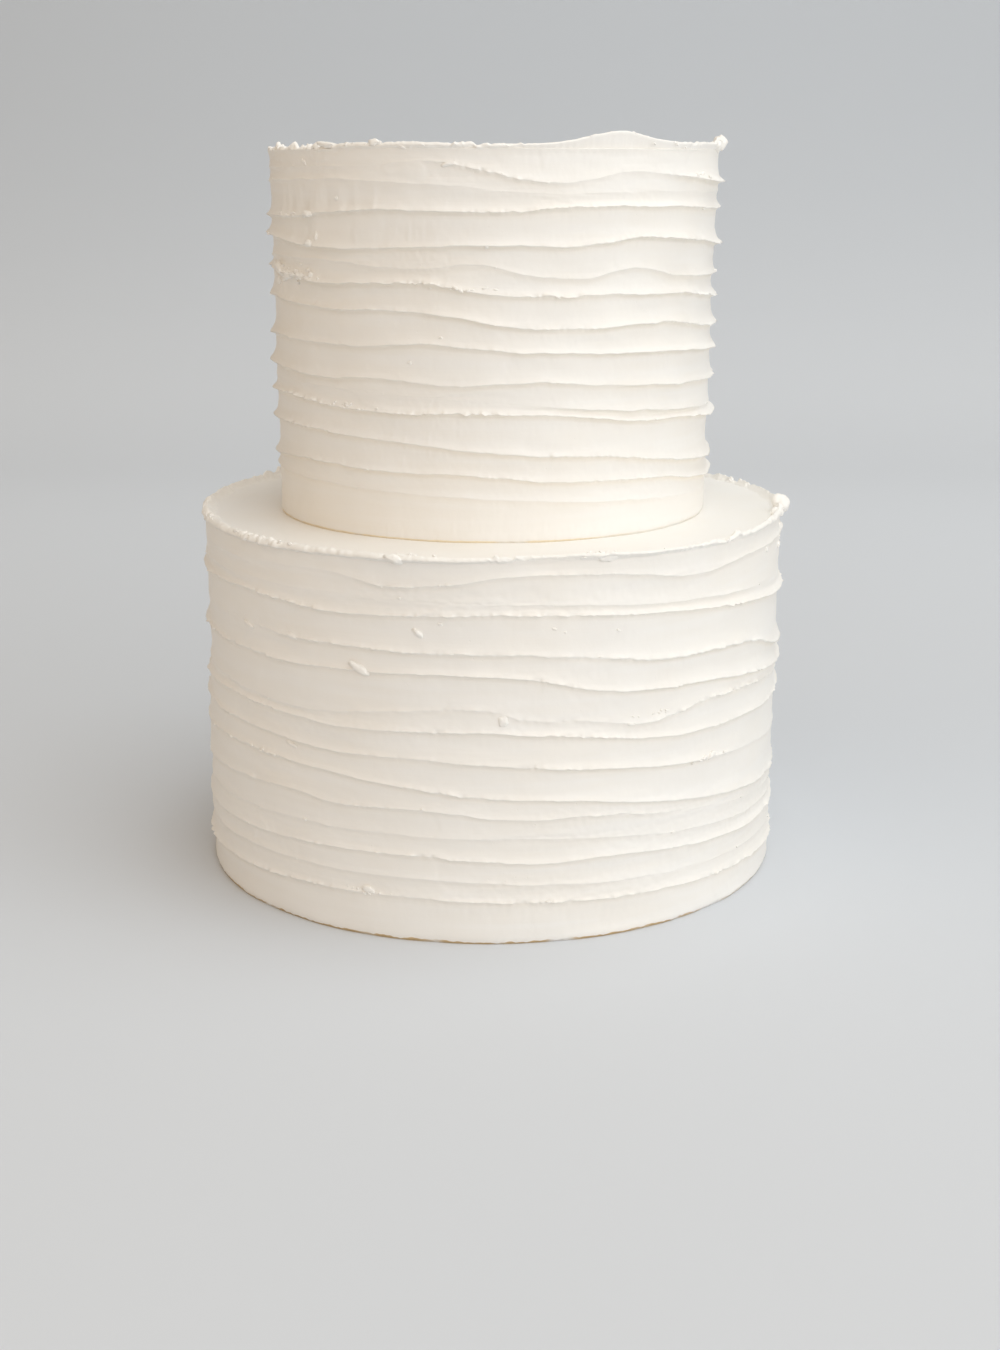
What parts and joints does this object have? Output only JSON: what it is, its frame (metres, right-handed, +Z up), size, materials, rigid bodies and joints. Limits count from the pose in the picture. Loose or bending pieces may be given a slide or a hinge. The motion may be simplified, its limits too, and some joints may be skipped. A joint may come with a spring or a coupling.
{
  "type": "layer cake",
  "caption": "Round iced cake in stacked tiers, with level knife ridges round its sides and a ragged lip round each flat top.",
  "frame": {"origin": "centre of the lower tier's flat foot, on the surface that the cake stands on", "axes": "+Z up through both tiers, -Y towards the front of the cake, +X to the right as seen from the front"},
  "size_m": [0.2119, 0.2115, 0.2599],
  "materials": {
    "buttercream": "satin ivory buttercream, spread with a palette knife"
  },
  "bodies": {
    "root": {"lower_tier": "buttercream", "upper_tier": "buttercream"}
  },
  "joints": []
}
